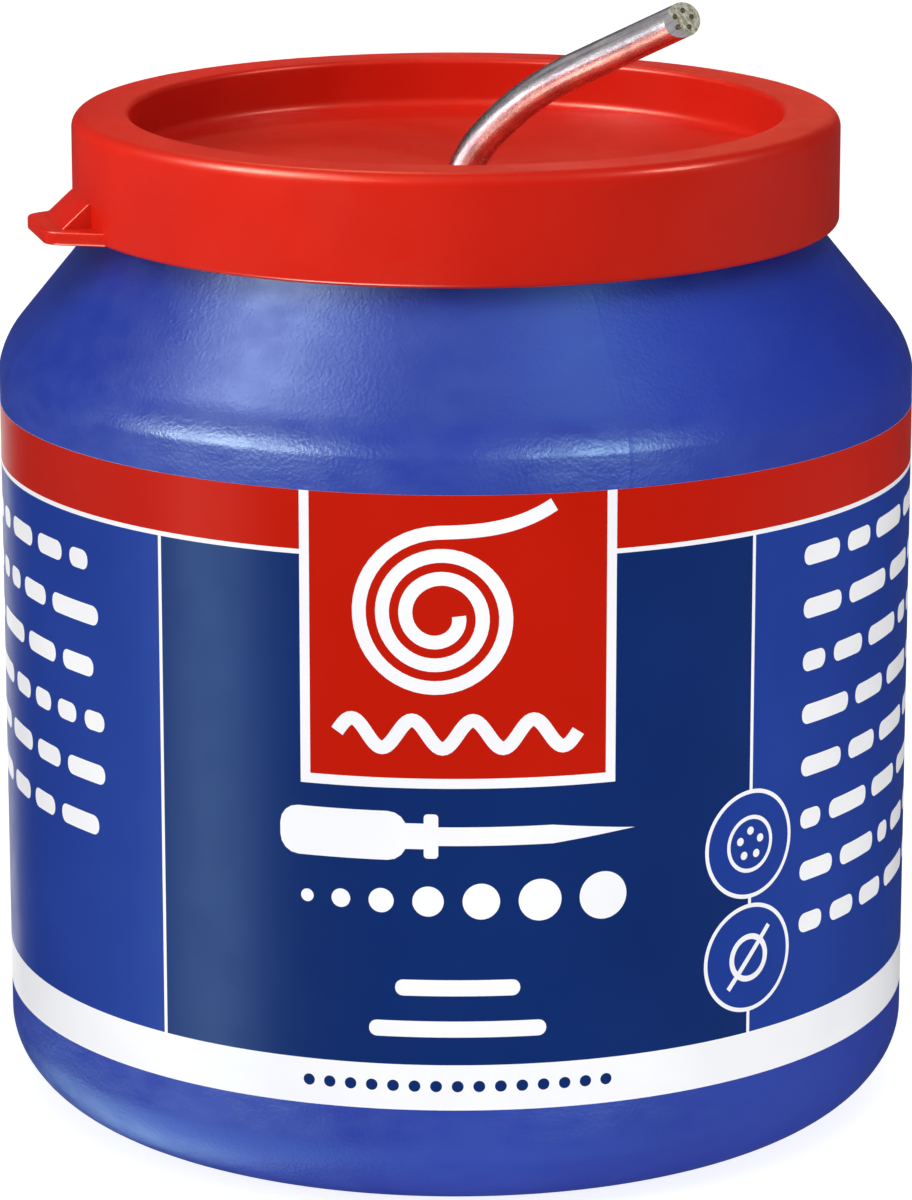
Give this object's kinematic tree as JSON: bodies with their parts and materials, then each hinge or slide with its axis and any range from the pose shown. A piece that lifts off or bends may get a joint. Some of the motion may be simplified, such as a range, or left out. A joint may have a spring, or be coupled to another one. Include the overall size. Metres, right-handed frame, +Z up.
{
  "type": "solder wire dispenser jar",
  "caption": "Round plastic jar with a snap lid that holds a coil of resin-core solder wire and pays it out through a hole in the lid.",
  "frame": {"origin": "middle of the flat ring that the jar stands on, on the jar's axis", "axes": "+Z up the jar's axis, -Y out of the front of the label, +X to the right seen from the front"},
  "size_m": [0.08, 0.08, 0.0986],
  "materials": {
    "jar_plastic": "satin blow-moulded polyethylene, blue",
    "label_print": "glossy film label printed in dark blue, blue, red and white",
    "lid_plastic": "smooth injection-moulded polyethylene, red",
    "solder": "bright drawn tin-lead wire with fine lengthwise scratches",
    "flux": "dull amber rosin"
  },
  "bodies": {
    "jar": {"jar": "jar_plastic", "label": "label_print", "solder_coil": "solder", "wire_lead": "solder"},
    "lid": {"lid": "lid_plastic"},
    "wire_riser": {"wire_riser": "solder"},
    "wire_free_end": {"wire_free_end": "solder", "flux_cores": "flux"}
  },
  "joints": [
    {"name": "lid_lift", "type": "slide", "parent": "jar", "child": "lid", "axis": [0, 0, 1], "range_m": [0, 0.03]},
    {"name": "wire_feed", "type": "slide", "parent": "lid", "child": "wire_riser", "axis": [0, 0, 1], "range_m": [0, 0.03]},
    {"name": "wire_swivel", "type": "hinge", "parent": "wire_riser", "child": "wire_free_end", "pos_m": [0, 0, 0.0772], "axis": [0, 0, 1], "continuous": true}
  ]
}
